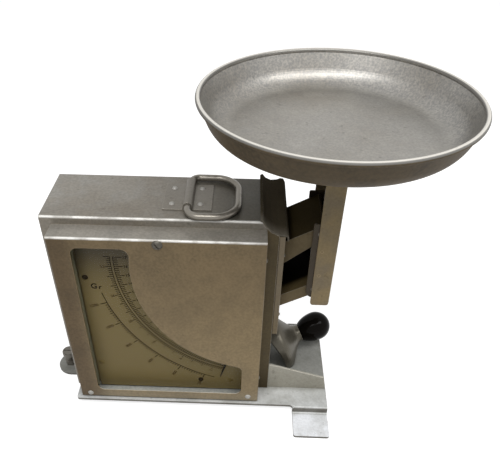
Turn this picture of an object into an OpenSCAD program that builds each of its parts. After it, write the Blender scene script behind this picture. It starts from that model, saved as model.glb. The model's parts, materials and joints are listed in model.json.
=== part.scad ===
// Inclination scale: a sheet-metal case with a dial, a parallelogram of two channel arms,
// an upright post that carries a round pan, a carrying ring, a locking lever and a levelling screw.
// X runs to the pan's side, Y runs to the back, Z is up.
// The origin is on the floor, at the middle of the whole scale. All sizes are in millimetres.

/* [Base plate] */
// Thickness of the base plate and of its feet
base_t = 3; // [2.5:0.1:3.5]
// Height of the base plate's upper face above the floor
base_top = 11; // [9:0.5:12]
// Left edge of the base plate
base_left = -164; // [-166:1:-160]
// Right edge of the base plate
base_right = 107.5; // [100:0.5:112]
// Front edge of the base plate
base_front = -61; // [-63:0.5:-60]
// Back edge of the base plate
base_back = 41.5; // [40:0.5:44]
// Width of each stepped-down foot at the right
foot_w = 37.5; // [30:0.5:40]
// Length of each stepped-down foot beyond the plate
foot_l = 34; // [24:1:36]
// Height of the turned-up lip at the back edge
lip_h = 4; // [2:0.5:5]

/* [Left foot] */
// Left end of the tongue
tongue_end = -199; // [-199:1:-190]
// Width of the tongue
tongue_w = 34; // [28:1:36]
// Middle of the tongue, front to back
tongue_y = -2; // [-6:1:2]
// Middle of the levelling screw, left to right
screw_x = -185.5; // [-187:0.5:-180]

/* [Case] */
// Left side of the case
case_left = -168; // [-170:1:-166]
// Right side of the case
case_right = 43; // [42:0.5:44]
// Depth of the case
case_d = 76; // [74:1:80]
// Height of the case's top above the floor
case_top = 228; // [222:1:230]
// Thickness of the case's sheet
case_t = 1.5; // [1.2:0.1:1.8]

/* [Front cover] */
// Left side of the front cover
cover_left = -158; // [-160:1:-156]
// Width of the front cover
cover_w = 190; // [186:1:190]
// Depth of the front cover
cover_d = 21; // [19:0.5:22]
// Lower edge of the front cover
cover_low = 12; // [11.5:0.5:13]
// Upper edge of the front cover
cover_top = 220.5; // [217:0.5:222]
// Thickness of the cover's sheet
cover_t = 1.2; // [1:0.1:1.5]

/* [Window and dial] */
// Left side of the window
win_left = -138.5; // [-140:0.5:-134]
// Right side of the window
win_right = 14; // [10:0.5:16]
// Lower side of the window
win_low = 24; // [22:0.5:28]
// Upper side of the window
win_top = 210; // [204:0.5:211]
// Radius of the window's arched side, struck from the beam's pivot
win_arc = 122.5; // [120:0.5:125]
// Front of the dial plate
dial_y = -45.2; // [-46:0.1:-44.5]

/* [Linkage] */
// Upper fixed pivot, left to right
pivot_x = 34; // [33:0.5:35]
// Upper fixed pivot above the floor
pivot_z = 186; // [184:0.5:188]
// Distance from the upper to the lower pivots
pivot_gap = 63.5; // [60:0.5:66]
// Middle of the post, left to right, and so of its pivots
post_x = 80; // [79:0.5:81]
// Rise of the arms from the fixed pivots to the post with the pan empty
arm_rise = 25; // [24:0.5:26]
// Outer width of both arms, front to back
arm_w = 55; // [53:0.5:56]
// Thickness of the arms' sheet
arm_t = 1.6; // [1.4:0.1:1.8]

/* [Post and pan] */
// Outer width of the post, front to back
post_w = 62; // [61.5:0.5:64]
// Lower end of the post
post_low = 129; // [126:1:134]
// Radius of the pan over its bead
pan_r = 115; // [110:0.5:115]
// Height of the pan's bead above the floor
pan_z = 323; // [320:1:326]
// Depth of the pan below the middle of its bead
pan_d = 29; // [27:0.5:31]
// Middle of the pan, left to right
pan_x = 84; // [83:0.5:85]

/* [Carrying ring] */
// Middle of the ring's straight bar, left to right
ring_x = -38.7; // [-41:0.1:-37]
// Reach of the ring from its bar, between the middles of the wire
ring_l = 44.4; // [42:0.1:46]
// Width of the ring, between the middles of the wire
ring_w = 67.4; // [66:0.2:70]
// Radius of the ring's wire
ring_r = 3.1; // [2.6:0.1:3.2]

/* [Locking lever] */
// Lever's shaft, left to right
lever_x = 30; // [28:0.5:32]
// Lever's shaft above the floor
lever_z = 36; // [34:0.5:38]
// End of the lever's neck, left to right
neck_x = 80.5; // [79:0.5:82]
// End of the lever's neck, front to back
neck_y = 26.3; // [25:0.1:27]
// End of the lever's neck above the floor
neck_z = 35.9; // [34:0.1:37]
// Radius of the lever's neck
neck_r = 9.8; // [9:0.1:10.5]
// Radius of the lever's bell
bell_r = 34; // [32:0.5:35]
// Radius of the knob
knob_r = 16.4; // [15:0.1:17]
// Length of the knob
knob_l = 36; // [34:0.5:37]

/* [Hidden] */

$fn = 64;
big = 400;
run = 0.05;          // radial running clearance of a pin in its bore
half_d = case_d / 2;
cover_front = -half_d - cover_d;
cover_right = cover_left + cover_w;
case_in_l = case_left + case_t;
case_in_top = case_top - case_t;
cheek_t = 2;
cheek_in = half_d - case_t - cheek_t;      // inner face of each cheek
cheek_l = 16;
cheek_r = case_right - 3.4;
cheek_foot_h = 17;
bush_r = 5;
arm_dx = post_x - pivot_x;
arm_l = norm([arm_dx, arm_rise]);
arm_a = atan(arm_rise / arm_dx);           // slope of the arms with the pan empty
low_z = pivot_z - pivot_gap;
post_pin_z = pivot_z + arm_rise;
post_top = pan_z - pan_d - 4;
axle_r = 3;
post_pin_r = 2.5;
lever_pin_r = 3;

// Points on an arc round c, from angle a to angle b in degrees
function arc(c, r, a, b, n = 12) = [for (i = [0:n]) c + r * [cos(a + (b - a) * i / n),
    sin(a + (b - a) * i / n)]];

// Extrudes a drawing in X and Z from the front y0 to the back y1
module front_view(y0, y1) {
    translate([0, y1, 0]) rotate([90, 0, 0]) linear_extrude(y1 - y0) children();
}

// Extrudes a drawing in Y and Z from the left x0 to the right x1
module side_view(x0, x1) {
    translate([x0, 0, 0]) rotate([90, 0, 90]) linear_extrude(x1 - x0) children();
}

// Extrudes a drawing in X and Y from z0 up to z1
module top_view(z0, z1) {
    translate([0, 0, z0]) linear_extrude(z1 - z0) children();
}

// Round bar along Y
module bar_y(x, z, r, y0, y1) {
    translate([x, y1, z]) rotate([90, 0, 0]) cylinder(r = r, h = y1 - y0);
}

// Round bar along X
module bar_x(y, z, r, x0, x1) {
    translate([x0, y, z]) rotate([0, 90, 0]) cylinder(r = r, h = x1 - x0);
}

// Round bar along Z
module bar_z(x, y, r, z0, z1) {
    translate([x, y, z0]) cylinder(r = r, h = z1 - z0);
}

// Rectangle with four round corners
module round_rect(a, b, r) {
    translate([a[0] + r, a[1]]) square([b[0] - a[0] - 2 * r, b[1] - a[1]]);
    translate([a[0], a[1] + r]) square([b[0] - a[0], b[1] - a[1] - 2 * r]);
    for (x = [a[0] + r, b[0] - r], y = [a[1] + r, b[1] - r]) translate([x, y]) circle(r);
}

// Straight strip with round ends, from a to b
module strip(a, b, r) {
    l = norm(b - a);
    translate(a) rotate(atan2(b[1] - a[1], b[0] - a[0])) {
        translate([0, -r]) square([l, 2 * r]);
        circle(r);
        translate([l, 0]) circle(r);
    }
}

// Box of bent sheet: r holds the radii of its edges as seen from the front, from the side and from above
module dressed_box(a, b, r) {
    intersection() {
        front_view(a[1], b[1]) round_rect([a[0], a[2]], [b[0], b[2]], r[0]);
        side_view(a[0], b[0]) round_rect([a[1], a[2]], [b[1], b[2]], r[1]);
        top_view(a[2], b[2]) round_rect([a[0], a[1]], [b[0], b[1]], r[2]);
    }
}

// Turned dome of radius r and height h, standing on z = 0
module dome(r, h) {
    s = (r * r + h * h) / (2 * h);
    rotate_extrude() intersection() {
        translate([0, h - s]) circle(s);
        square([r, h]);
    }
}

// Domed head that faces the front, at [x, z] with its seat at y
module head_front(p, y, r, h) {
    translate([p[0], y, p[1]]) rotate([90, 0, 0]) dome(r, h);
}

// Domed head that faces up, at [x, y] with its seat at z
module head_up(p, z, r, h) {
    translate([p[0], p[1], z]) dome(r, h);
}

// Domed head that faces right, at [y, z] with its seat at x
module head_right(p, x, r, h) {
    translate([x, p[0], p[1]]) rotate([0, 90, 0]) dome(r, h);
}

/* The base plate and its feet */

// Side outline of a stepped-down foot of length l: the plate's edge, one bend down and the pad.
// It is drawn at distance u outward from the plate's edge and height v.
module foot_outline(l) {
    t = base_t;
    outer = 2.4;
    inner = 1.5;
    polygon(concat([[-8, base_top]],
        arc([t - outer, base_top - outer], outer, 90, 0, 6),
        arc([t + inner, t + inner], inner, 180, 270, 6),
        [[l, t], [l, 0]],
        arc([outer, outer], outer, 270, 180, 6),
        [[0, base_top - t], [-8, base_top - t]]));
}

// Both feet at the right: the front one and its mirror image at the back
module right_feet() {
    x0 = base_right - foot_w;
    for (m = [0, 1]) {
        edge = m == 0 ? base_front : base_back;
        intersection() {
            translate([0, edge, 0]) mirror([0, 1 - m, 0]) side_view(x0, base_right) foot_outline(foot_l);
            top_view(-1, big) union() {
                translate([x0, edge - 10]) square([foot_w, 20]);
                round_rect([x0, edge - foot_l], [base_right, edge + foot_l], 2.5);
            }
        }
    }
}

// Stepped-down foot at the left, with a round end for the levelling screw
module tongue() {
    l = base_left - tongue_end;
    r = tongue_w / 2;
    intersection() {
        translate([base_left, 0, 0]) mirror([1, 0, 0])
            front_view(tongue_y - r, tongue_y + r) foot_outline(l);
        top_view(-1, big) strip([tongue_end + r, tongue_y], [base_left + 20, tongue_y], r);
    }
}

// Rounded corner between the plate's front edge and its front foot
module foot_corner() {
    x0 = base_right - foot_w;
    r = 4;
    top_view(base_top - base_t, base_top)
        polygon(concat([[x0 - r, base_front + 1], [x0 + 1, base_front + 1], [x0 + 1, base_front - r]],
            arc([x0 - r, base_front - r], r, 0, 90, 8)));
}

// Base plate with its lip, feet and the holes of its screws
module base_plate() {
    color("lightgray") difference() {
        union() {
            top_view(base_top - base_t, base_top)
                round_rect([base_left, base_front], [base_right, base_back], 3);
            top_view(base_top - base_t, base_top)
                translate([0, base_back - 10]) square([base_right, 10]);
            top_view(base_top - base_t, base_top)
                translate([base_right - foot_w, base_front]) square([foot_w, 10]);
            side_view(cheek_in + 15, base_right) translate([base_back - 1.5, base_top]) square([1.5, lip_h]);
            right_feet();
            foot_corner();
            tongue();
        }
        for (p = cheek_screw_places) bar_z(p[0], p[1], 2 + run, 0, 20);
        bar_z(screw_x, tongue_y, 3.4, -1, base_t + 1);
    }
}

cheek_screw_places = [for (x = [-150, -60, 20], s = [-1, 1]) [x, s * (cheek_in - 7)]];

// Domed screws that hold the feet of the cheeks to the base plate
module base_fasteners() {
    color("gray") for (p = cheek_screw_places) {
        bar_z(p[0], p[1], 2, base_top - base_t, base_top + cheek_t);
        head_up(p, base_top + cheek_t, 3.8, 2.2);
    }
}

// Six-sided nut on the tongue
module levelling_nut() {
    color("silver") difference() {
        top_view(base_t, base_t + 5) translate([screw_x, tongue_y]) circle(6.4, $fn = 6);
        bar_z(screw_x, tongue_y, 3 + run, -1, base_t + 6);
    }
}

// Levelling screw with a knurled, slotted head
module levelling_screw() {
    head_z = base_t + 13;
    color("silver") difference() {
        union() {
            bar_z(screw_x, tongue_y, 3, 0, head_z + 1);
            bar_z(screw_x, tongue_y, 6.6, head_z, head_z + 6.5);
            bar_z(screw_x, tongue_y, 7.2, head_z + 0.8, head_z + 5.7);
        }
        for (i = [0:23]) translate([screw_x, tongue_y, head_z - 1]) rotate(i * 15)
            translate([7.35, 0, 0]) cylinder(r = 0.5, h = 9, $fn = 16);
        translate([screw_x - 8, tongue_y - 0.6, head_z + 5.2]) cube([16, 1.2, 3]);
    }
}

/* The frame inside the case */

// Outline of a cheek: an upright at the pivots, a low rail along the base, and for the front one
// a flange that reaches out along the base's right part
module cheek(right_flange) {
    difference() {
        union() {
            translate([cheek_l, base_top]) square([cheek_r - cheek_l, 202]);
            translate([base_left + 1, base_top]) square([cheek_r - base_left - 1, cheek_foot_h]);
            if (right_flange) polygon([[cheek_r - 1, base_top], [base_right - 0.8, base_top],
                [base_right - 3.4, base_top + 17.5], [case_right + 2.2, base_top + 35.5],
                [cheek_r - 1, base_top + 35.5]]);
        }
        translate([pivot_x, pivot_z]) circle(bush_r);
        translate([pivot_x, low_z]) circle(axle_r);
        translate([lever_x, lever_z]) circle(lever_pin_r);
    }
}

// Foot of a cheek on the base plate: s is -1 for the front cheek and 1 for the rear one
module cheek_foot(s) {
    y = s * cheek_in;
    difference() {
        top_view(base_top, base_top + cheek_t)
            translate([base_left + 1, min(y, y - s * 14)]) square([cheek_r - base_left - 1, 14]);
        for (p = cheek_screw_places) bar_z(p[0], p[1], 2 + run, 0, 20);
    }
}

module front_cheek() {
    color("darkgray") {
        front_view(-cheek_in - cheek_t, -cheek_in) cheek(true);
        cheek_foot(-1);
    }
}

module rear_cheek() {
    color("darkgray") {
        difference() {
            front_view(cheek_in, cheek_in + cheek_t) cheek(false);
            for (p = cheek_cover_screws) bar_y(p[0], p[1], 1.5, 0, half_d);
        }
        cheek_foot(1);
    }
}

module cheek_spacers() {
    color("gray") for (p = [[22, 206], [22, 60], [-154, 22]])
        bar_y(p[0], p[1], 4, -cheek_in, cheek_in);
}

/* The case */

// Sheet-metal case, open below, at the back and at the right, with a window behind the dial
module case_shell() {
    bend = 2.5;          // radius of the bend along the front and back edges of the top
    corner = 1.2;        // radius of the dressed corners at the left
    low = base_top - base_t;
    y0 = half_d - case_t;
    color("silver") difference() {
        union() {
            difference() {
                intersection() {
                    front_view(-half_d, half_d) union() {
                        round_rect([case_left, low], [case_right + 20, case_top], corner);
                        translate([case_left, low]) square([20, 20]);
                    }
                    side_view(case_left, case_right) round_rect([-half_d, 0], [half_d, case_top], bend);
                    top_view(low, case_top)
                        round_rect([case_left, -half_d], [case_right + 20, half_d + 20], corner);
                }
                dressed_box([case_in_l, -y0, -20], [case_right - case_t, y0, case_in_top],
                    [0.4, bend - 1, 0.4]);
                translate([case_left + bend + 2, y0 - 1, -1])
                    cube([case_right - case_left, 5, case_in_top - bend + 1]);
            }
            translate([case_in_l, y0 - case_t, 30]) cube([12, case_t, 193]);
            translate([case_in_l, y0 - case_t, case_in_top - 14]) cube([175, case_t, 14]);
        }
        front_view(-half_d - 1, half_d + 1) hood_cut();
        translate([case_right - 5, -30, base_top + 2]) cube([10, 60, case_in_top - base_top - 26]);
        translate([case_right - 5, -y0, -1]) cube([10, 2 * y0, 48]);
        translate([case_left - 1, tongue_y - tongue_w / 2 - 2, -1]) cube([4, tongue_w + 4, base_top + 1.5]);
        translate([case_in_l - 0.5, -y0, -1]) cube([300, case_d, base_top + 1]);
        translate([base_left - 0.3, -half_d - 1, -1]) cube([250, 4, base_top + 1]);
        front_view(-half_d - 1, -y0 + 1) round_rect([-124, 44], [27, 212], 8);
        for (p = dial_rivet_places) bar_y(p[0], p[1], 1.5, -half_d - 1, 0);
        bar_y(cover_screw_x, cover_screw_z, 2, -half_d - 1, 0);
        for (p = flange_screws) bar_y(p[0], p[1], 1.5, 0, half_d);
        for (s = [-1, 1], z = rail_rivet_z) bar_x(s * rail_rivet_y, z, 1, case_right - 5, case_right + 1);
        for (p = strap_rivet_places) bar_z(p[0], p[1], 1.5, case_top - 6, case_top + 1);
    }
}

cheek_cover_screws = [[-150, 20], [-60, 20], [34, 20], [34, 150]];
flange_screws = [[-160, 60], [-160, 180], [-120, 219], [-20, 219]];

// Flat cover at the back, with a row of air slots
module rear_cover() {
    y0 = half_d - case_t;
    color("silver") difference() {
        front_view(y0, half_d) difference() {
            round_rect([case_left + 5, base_top + 0.2], [case_right - 0.2, case_in_top - 3.2], 2);
            hood_cut();
        }
        for (p = concat(cheek_cover_screws, flange_screws)) bar_y(p[0], p[1], 1.5, y0 - 1, half_d + 1);
        for (i = [0:5]) front_view(y0 - 1, half_d + 1)
            strip([-120 + i * 9, 60], [-120 + i * 9, 84], 1.5);
    }
}

module rear_cover_screws() {
    color("gray") for (p = concat(cheek_cover_screws, flange_screws)) mirror([0, 1, 0]) difference() {
        union() {
            bar_y(p[0], p[1], 1.5, -half_d, -cheek_in);
            head_front(p, -half_d, 3, 1.8);
        }
        translate([p[0] - 4, -half_d - 2.5, p[1] - 0.4]) cube([8, 1.6, 0.8]);
    }
}

rail_w = 5.5;
rail_low = 94;
rail_top = 213;
rail_d = 8;
rail_rivet_z = [119, 191];
rail_rivet_y = half_d - 3.4;

// Thin channel along each edge of the case's open side
module side_rails() {
    color("tan") for (s = [-1, 1]) mirror([0, (1 + s) / 2, 0]) difference() {
        dressed_box([case_right, -half_d, rail_low], [case_right + rail_w, -half_d + rail_d, rail_top],
            [0.8, 0.8, 0.8]);
        translate([case_right - 1, -half_d + 1.3, rail_low - 1])
            cube([rail_w - 0.3, rail_d, rail_top - rail_low + 2]);
        for (z = rail_rivet_z) bar_x(-rail_rivet_y, z, 1, case_right, case_right + rail_w + 1);
    }
}

module rail_rivets() {
    color("white") for (s = [-1, 1], z = rail_rivet_z) {
        bar_x(s * rail_rivet_y, z, 1, case_right - case_t - 0.6, case_right + rail_w);
        head_right([s * rail_rivet_y, z], case_right + rail_w, 2, 1.3);
    }
}

// Inner and outer lines of the hood, from the case's top to its curled lip
hood_t = 1.2;
hood_under = [[27, case_top], [30, case_top - 5], [35.6, case_top - 10.6], [42.2, case_top - 13.9],
    [49.1, case_top - 14.8], [50.1, case_top - 15.8], [50.2, case_top - 19.2]];
hood_over = [[51.4, case_top - 19.2], [51.3, case_top - 15.4], [49.6, case_top - 13.6],
    [42.6, case_top - 12.6], [36.3, case_top - 9.6], [31, case_top - 4.3], [27.9, case_top + hood_t]];

// What the hood's slope takes off the top right corner of the case
module hood_cut() {
    polygon(concat(hood_under, [[60, case_top - 19.2], [60, case_top + 5], [27, case_top + 5]]));
}

// Bent sheet over the arms, from the case's top down to a level lip with a turned-down edge,
// with its back edge cut on a slant past the case
module hood() {
    lap = hood_over[len(hood_over) - 1][0] - 2.4;
    lip = hood_over[0][0];
    color("dimgray") intersection() {
        front_view(-half_d, half_d + 40)
            polygon(concat([[lap, case_top + hood_t], [lap, case_top]], hood_under, hood_over));
        top_view(0, big) polygon([[lap - 1, -half_d - 1], [lip + 1, -half_d - 1], [lip + 1, half_d + 19],
            [lip - 2, half_d + 25], [lip - 5, half_d + 25], [lap, half_d + 4], [lap - 1, half_d + 4]]);
    }
}

/* The front cover, its window and the dial */

pivot = [pivot_x, pivot_z];
win_round = 7;
arch_round = 8;

// Centres of the two round corners where the arch meets the window's top and its right side
arch_top = [pivot_x - sqrt(pow(win_arc + arch_round, 2) - pow(win_top - arch_round - pivot_z, 2)),
    win_top - arch_round];
arch_right = [win_right - arch_round,
    pivot_z - sqrt(pow(win_arc + arch_round, 2) - pow(win_right - arch_round - pivot_x, 2))];

// Direction of a vector, in degrees
function bearing(v) = atan2(v[1], v[0]);

// Window outline: a rectangle with round corners, hollowed by an arch struck from the beam's pivot
module window_outline() {
    polygon(concat(
        arc([win_left + win_round, win_low + win_round], win_round, 180, 270),
        arc([win_right - win_round, win_low + win_round], win_round, 270, 360),
        arc(arch_right, arch_round, 0, bearing(pivot - arch_right)),
        arc(pivot, win_arc, bearing(arch_right - pivot), bearing(arch_top - pivot) - 360, 60),
        arc(arch_top, arch_round, bearing(pivot - arch_top), 90),
        arc([win_left + win_round, win_top - win_round], win_round, 90, 180)));
}

cover_screw_x = -62;
cover_screw_z = cover_top - 5;
cover_rivet_places = [[cover_left + 10, cover_low + 6], [cover_right - 10.5, cover_low + 8]];
cover_side_z = [40, 195];
cover_side_y = -half_d - 11;

// Front cover: a shallow tray, bent along its top and bottom, with the window's opening
module front_cover() {
    color("tan") difference() {
        intersection() {
            dressed_box([cover_left, cover_front, cover_low], [cover_right, 0, cover_top], [0.8, 2.4, 1.2]);
            front_view(cover_front, -half_d) square([2 * big, 2 * big], center = true);
        }
        intersection() {
            dressed_box([cover_left + cover_t, cover_front + cover_t, cover_low + cover_t],
                [cover_right - cover_t, 0, cover_top - cover_t], [0.4, 1.2, 0.4]);
            front_view(cover_front, 1) square([2 * big, 2 * big], center = true);
        }
        front_view(cover_front - 1, cover_front + cover_t + 1) window_outline();
        bar_y(cover_screw_x, cover_screw_z, 2, cover_front - 1, cover_front + 3);
        for (p = cover_rivet_places) bar_y(p[0], p[1], 1.5, cover_front - 1, cover_front + 3);
        for (z = cover_side_z) bar_x(cover_side_y, z, 1.5, cover_right - 3, cover_right + 1);
    }
}

// Long screw through the cover's face to the case
module cover_screw() {
    color("silver") difference() {
        union() {
            bar_y(cover_screw_x, cover_screw_z, 2, cover_front, -half_d + 4);
            head_front([cover_screw_x, cover_screw_z], cover_front, 4.8, 2.8);
        }
        translate([cover_screw_x, cover_front - 3.2, cover_screw_z]) rotate([0, 50, 0])
            translate([-6, 0, -0.6]) cube([12, 1.8, 1.2]);
    }
}

module cover_rivets() {
    color("silver") for (p = cover_rivet_places) {
        bar_y(p[0], p[1], 1.5, cover_front, cover_front + cover_t + 1.4);
        head_front(p, cover_front, 3.1, 1.9);
    }
}

module cover_side_screws() {
    color("silver") for (z = cover_side_z) {
        bar_x(cover_side_y, z, 1.5, cover_right - cover_t - 1.5, cover_right);
        head_right([cover_side_y, z], cover_right, 2.4, 1.5);
    }
}

// Pane behind the window, wider than it on every side
module window_glass() {
    y0 = cover_front + cover_t;
    lap = 4;
    color("lightyellow") front_view(y0, y0 + 2) difference() {
        translate([win_left - lap, win_low - lap])
            square([win_right - win_left + 2 * lap, win_top - win_low + 2 * lap]);
        translate(pivot) circle(win_arc - lap);
    }
}

dial_left = -139.3;
dial_low = 16;
dial_top = 213;
dial_rivet_places = [[-134.2, 167], [-29.6, 30], [-134.2, 52], [2, 30]];

// Dial plate, hollowed round the beam's pivot
module dial_plate() {
    color("darkkhaki") difference() {
        front_view(dial_y, dial_y + 1) difference() {
            round_rect([dial_left, dial_low], [22, dial_top], 2);
            translate([pivot_x, pivot_z]) circle(113, $fn = 128);
        }
        for (p = dial_rivet_places) bar_y(p[0], p[1], 1.5, dial_y - 1, dial_y + 2);
    }
}

// Rivets of the dial plate, with the sleeves that hold it off the case
module dial_rivets() {
    color("saddlebrown") for (p = dial_rivet_places) {
        bar_y(p[0], p[1], 1.5, dial_y, -half_d + case_t + 0.8);
        bar_y(p[0], p[1], 3, dial_y + 1, -half_d);
        head_front(p, dial_y, 2.9, 1.1);
    }
}

/* The beam: upper arm, axle, pendulum and pointer in one moving body */

// Places a child, drawn with the arm lying level, at the upper pivot
module at_pivot() {
    translate([pivot_x, 0, pivot_z]) rotate([0, -arm_a, 0]) children();
}

arm_up = 6;          // top of both arms above the line between their pivots
hub_r = 7;
hub_half = cheek_in - 1;
rod_hub_r = hub_r + 3.5;

// Side outline of the upper arm, along the line between its pivots: deep at the case, shallow at the post
module upper_outline() {
    hang = 17.7;
    end = arm_l + 6.4;
    difference() {
        union() {
            polygon([[-9, arm_up], [end - 1.5, arm_up], [end, arm_up - 1.5], [end, -4.5], [end - 1.8, -6.4],
                [9, -hang + 2], [2, -hang], [-7, -9], [-11, 0]]);
            circle(11);
        }
        translate([-20, arm_up]) square([arm_l + 40, 20]);
    }
}

// Channel of the arms' sheet that is open below, from its side outline
module channel_arm(half_w) {
    difference() {
        front_view(-half_w, half_w) children(0);
        difference() {
            front_view(-half_w + arm_t, half_w - arm_t) children(0);
            translate([-50, -50, arm_up - arm_t]) cube([200, 100, 20]);
        }
    }
}

// Upper arm: a channel with a hub right across it, and a cut in its web where the pendulum is fixed
module upper_beam() {
    h = arm_w / 2;
    cut = 2 * rod_hub_r + 5;
    color("dimgray") at_pivot() difference() {
        union() {
            difference() {
                channel_arm(h) upper_outline();
                translate([-cut / 2, -9, -cut / 2]) cube([cut, 18, cut]);
            }
            bar_y(0, 0, hub_r, -hub_half, hub_half);
        }
        bar_y(0, 0, axle_r, -hub_half - 1, hub_half + 1);
        bar_y(arm_l, 0, post_pin_r + run, -h - 1, h + 1);
    }
}

// Axle that turns with the upper arm
module beam_axle() {
    color("silver") bar_y(pivot_x, pivot_z, axle_r, -half_d + case_t + 0.1, half_d - case_t - 0.1);
}

// Flanged bushes of the beam's axle in the cheeks
module pivot_bushes() {
    color("goldenrod") for (s = [-1, 1]) mirror([0, (1 + s) / 2, 0]) difference() {
        union() {
            bar_y(pivot_x, pivot_z, bush_r, -half_d + case_t + 0.1, -cheek_in);
            bar_y(pivot_x, pivot_z, 6.5, -cheek_in, -hub_half - 0.3);
        }
        bar_y(pivot_x, pivot_z, axle_r + run, -half_d - 1, 0);
    }
}

rod_a = 21;          // lean of the pendulum from straight down, with the pan empty
rod_l = 128;
rod_r = 4;
weight_at = 100;
weight_l = 34;
nut_t = 5;

// Places a child, drawn downward from the pivot, along the pendulum
module along_rod() {
    translate([pivot_x, 0, pivot_z]) rotate([0, rod_a, 0]) children();
}

module pendulum_rod() {
    color("gray") along_rod() difference() {
        union() {
            translate([0, 0, -rod_l]) cylinder(r = rod_r, h = rod_l - 12);
            bar_y(0, 0, rod_hub_r, -8, 8);
            translate([0, 0, -22]) cylinder(r = 6, h = 13);
        }
        bar_y(0, 0, hub_r, -10, 10);
    }
}

// Turned weight on the pendulum's rod
module counterweight() {
    r = 23;
    c = 2.5;
    l = weight_l / 2;
    color("dimgray") along_rod() translate([0, 0, -weight_at]) rotate_extrude()
        polygon([[rod_r, -l], [r - c, -l], [r, -l + c], [r, l - c], [r - c, l], [rod_r, l]]);
}

// Knurled nuts that hold the weight from both sides
module trim_nuts() {
    l = weight_l / 2;
    color("goldenrod") along_rod() for (z = [-weight_at - l - nut_t, -weight_at + l]) difference() {
        translate([0, 0, z]) cylinder(r = 9, h = nut_t);
        translate([0, 0, z - 1]) cylinder(r = rod_r, h = nut_t + 2);
        for (i = [0:11]) translate([0, 0, z - 1]) rotate(i * 30)
            translate([9.6, 0, 0]) cylinder(r = 1.3, h = nut_t + 2, $fn = 16);
    }
}

// Flat arm inside the case that steps forward past the dial's edge and ends in a needle over the scale
module pointer() {
    a = 16;
    arm_y = -arm_w / 2 - 1;
    needle_y = dial_y - 2.6;
    step_r = 105;
    half = 1.8;
    color("black") translate([pivot_x, 0, pivot_z]) rotate([0, a, 0]) {
        difference() {
            union() {
                bar_y(0, 0, hub_r + 2, arm_y - 1.2, arm_y);
                front_view(arm_y - 1.2, arm_y)
                    polygon([[-4, 0], [4, 0], [half, -step_r - 1], [-half, -step_r - 1]]);
            }
            bar_y(0, 0, hub_r, -40, 0);
        }
        translate([-half, needle_y, -step_r - 1]) cube([2 * half, arm_y - needle_y, 1.2]);
        front_view(needle_y, needle_y + 0.7) polygon([[-half, -step_r + 0.2], [half, -step_r + 0.2],
            [1.1, -135], [0.35, -154], [-0.35, -154], [-1.1, -135], [-half, -step_r - 1]]);
    }
}

// Rubber-covered pin on the rear cheek that the weight rests on
module rest_stop() {
    color("black") bar_y(22.9, 83.1, 3, -8, cheek_in);
}

/* The lower arm, which keeps the post upright */

// Places a child, drawn with the arm lying level, at the lower pivot
module at_low_pivot() {
    translate([pivot_x, 0, low_z]) rotate([0, -arm_a, 0]) children();
}

// Side outline of the lower arm, along the line between its pivots
module lower_outline() {
    difference() {
        union() {
            strip([0, 0], [arm_l, 0], 6.2);
            translate([0, -2]) square([arm_l, 2 + arm_up]);
        }
        translate([-20, arm_up]) square([arm_l + 40, 20]);
    }
}

// Fixed axle of the lower arm
module link_axle() {
    color("silver") bar_y(pivot_x, low_z, axle_r, -half_d + case_t + 0.1, half_d - case_t - 0.1);
}

// Lower arm: a shallow channel, open below
module lower_link() {
    h = arm_w / 2;
    color("dimgray") at_low_pivot() difference() {
        channel_arm(h) lower_outline();
        bar_y(0, 0, axle_r + run, -h - 1, h + 1);
        bar_y(arm_l, 0, post_pin_r + 0.1, -h - 1, h + 1);
    }
}

/* The post and what it carries */

post_l = 78.5;
post_right = 96.5;
post_t = 1.5;
strip_t = 1.4;
strip_r = 7.5;
strip_x = post_x + 0.5;
strip_top = post_pin_z + 10.5;

// Post: an upright channel that is open towards the case
module post_channel() {
    h = post_w / 2;
    color("tan") difference() {
        intersection() {
            top_view(post_low, post_top) difference() {
                round_rect([post_l - 10, -h], [post_right, h], 1.6);
                round_rect([post_l - 20, -h + post_t], [post_right - post_t, h - post_t], 0.3);
                translate([post_l - 20, -50]) square([20, 100]);
            }
            front_view(-h, h) round_rect([post_l, post_low], [post_right, post_top + 10], 3);
        }
        for (p = post_rivet_places) {
            bar_y(p[0], p[1], 1.5, -h - 1, -h + post_t + 1);
            bar_y(p[0], p[1], 1.5, h - post_t - 1, h + 1);
        }
    }
}

// Strip along the inside of each of the post's walls, which holds the ends of the pins
module post_strips() {
    y0 = post_w / 2 - post_t;
    color("gray") for (s = [-1, 1]) mirror([0, (1 + s) / 2, 0]) difference() {
        front_view(-y0, -y0 + strip_t) polygon(concat(
            arc([strip_x, low_z + arm_rise - 2.5], strip_r, 180, 360),
            arc([strip_x + strip_r - 1.5, strip_top - 1.5], 1.5, 0, 90, 4),
            arc([strip_x - strip_r + 1.5, strip_top - 1.5], 1.5, 90, 180, 4)));
        bar_y(post_x, low_z + arm_rise, post_pin_r, -40, 0);
        bar_y(post_x, post_pin_z, post_pin_r, -40, 0);
        for (p = post_rivet_places) bar_y(p[0], p[1], 1.5, -40, 0);
    }
}

post_rivet_places = [[post_x + 3, low_z + arm_rise + 18], [post_x + 3, post_pin_z - 18]];

// Flush rivets that hold the strips to the post
module post_rivets() {
    y0 = post_w / 2;
    color("tan") for (p = post_rivet_places, s = [-1, 1]) mirror([0, (1 + s) / 2, 0])
        bar_y(p[0], p[1], 1.5, -y0, -y0 + post_t + strip_t);
}

// Pins of both arms in the post
module post_pins() {
    y0 = post_w / 2 - post_t;
    color("silver") for (z = [low_z + arm_rise, post_pin_z]) bar_y(post_x, z, post_pin_r, -y0, y0);
}

// Cap that closes the post's top, with a boss for the pan support
module post_head() {
    h = post_w / 2;
    color("gray") {
        top_view(post_top, post_top + 2) round_rect([post_l - 6, -h], [post_right, h], 2);
        for (s = [0, 1]) mirror([0, s, 0]) top_view(post_top - 14, post_top)
            translate([post_l + 2, -h + post_t]) square([post_right - post_t - post_l - 2, 1.6]);
    }
}

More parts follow.
